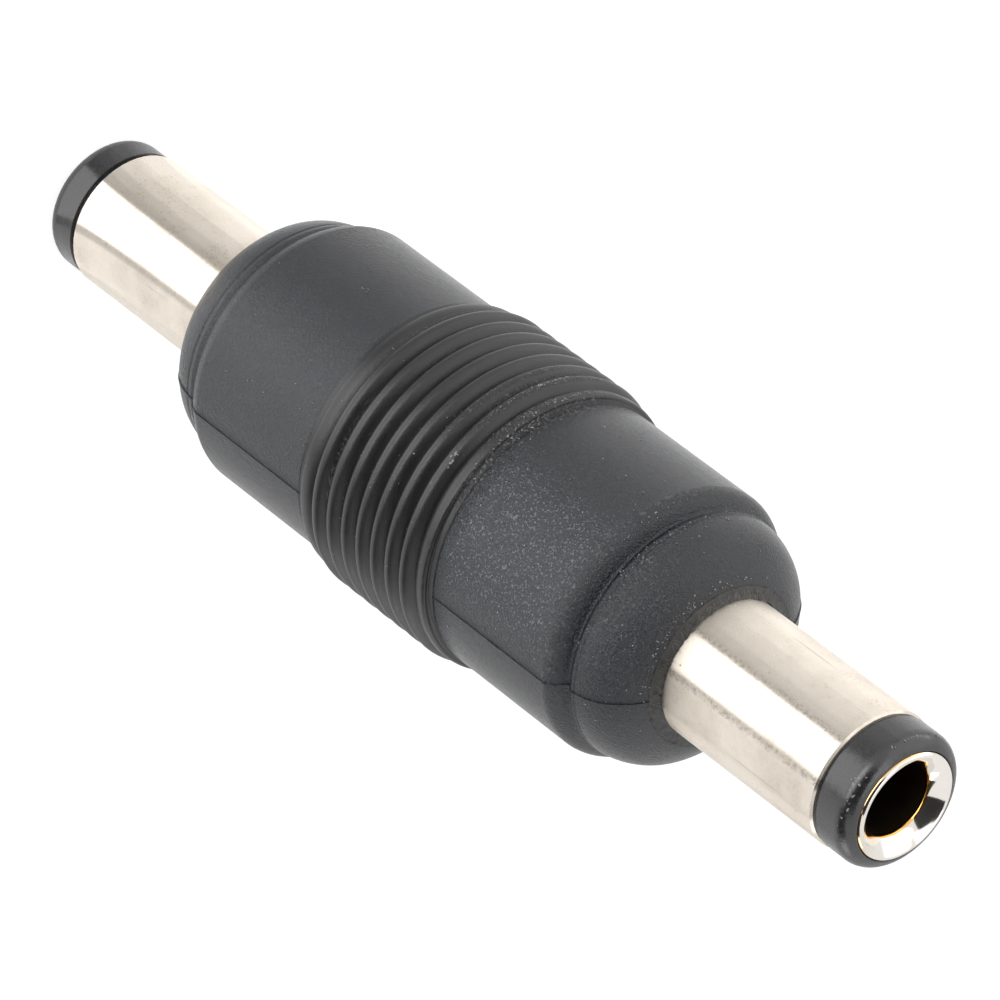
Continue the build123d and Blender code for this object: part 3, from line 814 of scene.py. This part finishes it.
cardValues = [
    # name, first azimuth, last azimuth and brightness of each card on the floor
    ("brightCard", -67.0, -9.0, 1.95),
    ("greyCard", -9.0, 1.0, 0.65),
    ("paleCard", 1.0, 52.0, 1.12),
    ("sideCard", -155.0, -125.0, 0.96),
    ("farCard", -215.0, -155.0, 1.2),
    ("dimCard", -73.0, -67.0, 0.36),
    ("dimmerCard", -81.0, -73.0, 0.42),
    ("palestCard", -95.0, -81.0, 0.56),
    ("lastCard", -118.0, -95.0, 0.76),
]
cameraValues = {
    "azimuth": viewAzimuth, "elevation": 37.868, "distance": 0.280142, "lens": 280.55, "sensor": 36.0,
    "target": (0.000023, 0.0, 0.023968), "upSide": (-1.0, 0.0, 0.0),
}


def stageMaterial(name, colour):
    material = bpy.data.materials.new(name)
    material.use_nodes = True
    shader = material.node_tree.nodes["Principled BSDF"]
    shader.inputs["Base Color"].default_value = colour
    shader.inputs["Emission Color"].default_value = rgb(1, 1, 1)
    return material, shader


def makeFloor(values):
    bpy.ops.mesh.primitive_plane_add(size=values["size"], location=(0, 0, 0))
    floor = bpy.context.object
    floor.name = "floor"
    material, shader = stageMaterial("paleFloor", values["colour"])
    tree = material.node_tree
    shader.inputs["Roughness"].default_value = values["roughness"]
    path = addNode(tree, "ShaderNodeLightPath").outputs
    seen = calc(tree, "MAXIMUM", path["Is Camera Ray"], path["Is Transmission Ray"])
    glossyGlow = times(tree, path["Is Glossy Ray"], values["glossyGlow"])
    glow = calc(tree, "ADD", times(tree, seen, values["glow"]), glossyGlow)
    tree.links.new(glow, shader.inputs["Emission Strength"])
    floor.data.materials.append(material)


def finishCard(card, brightness):
    material, shader = stageMaterial(card.name, rgb(0, 0, 0))
    shader.inputs["Emission Strength"].default_value = brightness
    card.data.materials.append(material)
    card.visible_camera = card.visible_diffuse = card.visible_shadow = card.visible_transmission = False


def makeCard(name, first, last, brightness):
    aim = direction(first)
    card = startPoint(name, aim * cardShape["inner"] + Vector((0, 0, cardShape["height"])))
    bpy.ops.mesh.extrude_region_move(
        TRANSFORM_OT_translate={"value": aim * (cardShape["outer"] - cardShape["inner"])})
    bpy.ops.mesh.select_all(action="SELECT")
    spinRound(cardShape["steps"], first - last)
    bpy.ops.object.mode_set(mode="OBJECT")
    finishCard(card, brightness)


def makeStand(name, azimuth, elevation, width, height, brightness):
    bpy.ops.object.select_all(action="DESELECT")
    aim = direction(azimuth, elevation)
    bpy.ops.mesh.primitive_plane_add(size=1.0, location=aim * standDistance + Vector((0, 0, middleHeight)),
                                     rotation=aim.to_track_quat("Z", "Y").to_euler())
    stand = bpy.context.object
    stand.name = name
    stand.scale = (width, height, 1.0)
    finishCard(stand, brightness)


def makeWorld(values):
    world = bpy.data.worlds.new("studio")
    scene.world = world
    world.use_nodes = True
    tree = world.node_tree
    background = tree.nodes["Background"]
    path = addNode(tree, "ShaderNodeLightPath").outputs
    seen = calc(tree, "MAXIMUM", path["Is Camera Ray"], path["Is Transmission Ray"])
    aim = addNode(tree, "ShaderNodeTexCoord").outputs["Generated"]
    rise = addNode(tree, "ShaderNodeSeparateXYZ", {0: aim}).outputs[2]
    sky = remap(tree, rise, *values["riseSpan"], values["glossyLow"], values["glossyHigh"])
    shineInputs = {0: path["Is Glossy Ray"], 2: values["fill"], 3: sky}
    shine = addNode(tree, "ShaderNodeMix", shineInputs, data_type="FLOAT").outputs[0]
    strength = addNode(tree, "ShaderNodeMix", {0: seen, 2: shine, 3: 1.0}, data_type="FLOAT").outputs[0]
    background.inputs["Color"].default_value = rgb(1, 1, 1)
    tree.links.new(strength, background.inputs["Strength"])


def makeLamp(name, azimuth, elevation, distance, width, height, power):
    data = bpy.data.lights.new(name, "AREA")
    data.shape = "RECTANGLE"
    data.size, data.size_y, data.energy = width, height, power
    lamp = bpy.data.objects.new(name, data)
    scene.collection.objects.link(lamp)
    aim = direction(azimuth, elevation)
    lamp.location = Vector((0, 0, middleHeight)) + aim * distance
    lamp.rotation_euler = aim.to_track_quat("Z", "Y").to_euler()
    lamp.visible_camera = False


def makeCamera(values):
    data = bpy.data.cameras.new("camera")
    data.lens, data.sensor_width = values["lens"], values["sensor"]
    camera = bpy.data.objects.new("camera", data)
    scene.collection.objects.link(camera)
    back = direction(values["azimuth"], values["elevation"])
    right = Vector(values["upSide"]).cross(back).normalized()
    up = back.cross(right)
    turn = Matrix((right, up, back)).transposed().to_4x4()
    camera.matrix_world = Matrix.Translation(Vector(values["target"]) + back * values["distance"]) @ turn
    scene.camera = camera


makeFloor(floorValues)
for cardRow in cardValues:
    makeCard(*cardRow)
makeWorld(worldValues)
for lampRow in lampValues:
    makeLamp(*lampRow)
for standRow in standValues:
    makeStand(*standRow)
makeCamera(cameraValues)
print("stage: floor, light and camera")
